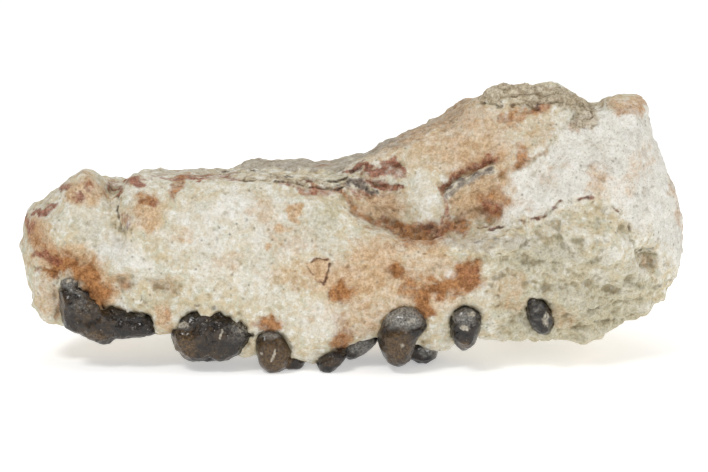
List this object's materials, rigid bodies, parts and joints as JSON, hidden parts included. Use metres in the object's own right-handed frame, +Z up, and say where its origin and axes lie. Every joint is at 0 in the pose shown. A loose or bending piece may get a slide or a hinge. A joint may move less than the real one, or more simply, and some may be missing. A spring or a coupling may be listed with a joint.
{
  "type": "fossil oreodont jaw",
  "caption": "Fossil jaw fragment of pale bone with a row of dark glossy teeth along its lower edge, backed by rough rock that swells at the rear end.",
  "frame": {"origin": "centre of the bounding box in X and Y, at the level that the jaw rests on", "axes": "+X along the jaw from the snout to the rear, +Y from the near side with the teeth to the far side, +Z up"},
  "size_m": [0.1058, 0.0422, 0.0435],
  "materials": {
    "bone": "dry fossil bone, off-white to tan with rust-orange and dark red stains",
    "rock": "rough pale grey and cream sandstone with dark grains",
    "enamel": "glossy dark brown to black fossil enamel"
  },
  "bodies": {
    "root": {"jaw_bone": "bone", "rock_matrix": "rock", "tooth_1": "enamel", "tooth_2": "enamel", "tooth_3": "enamel", "tooth_4": "enamel", "tooth_5": "enamel", "tooth_6": "enamel", "tooth_7": "enamel"}
  },
  "joints": []
}
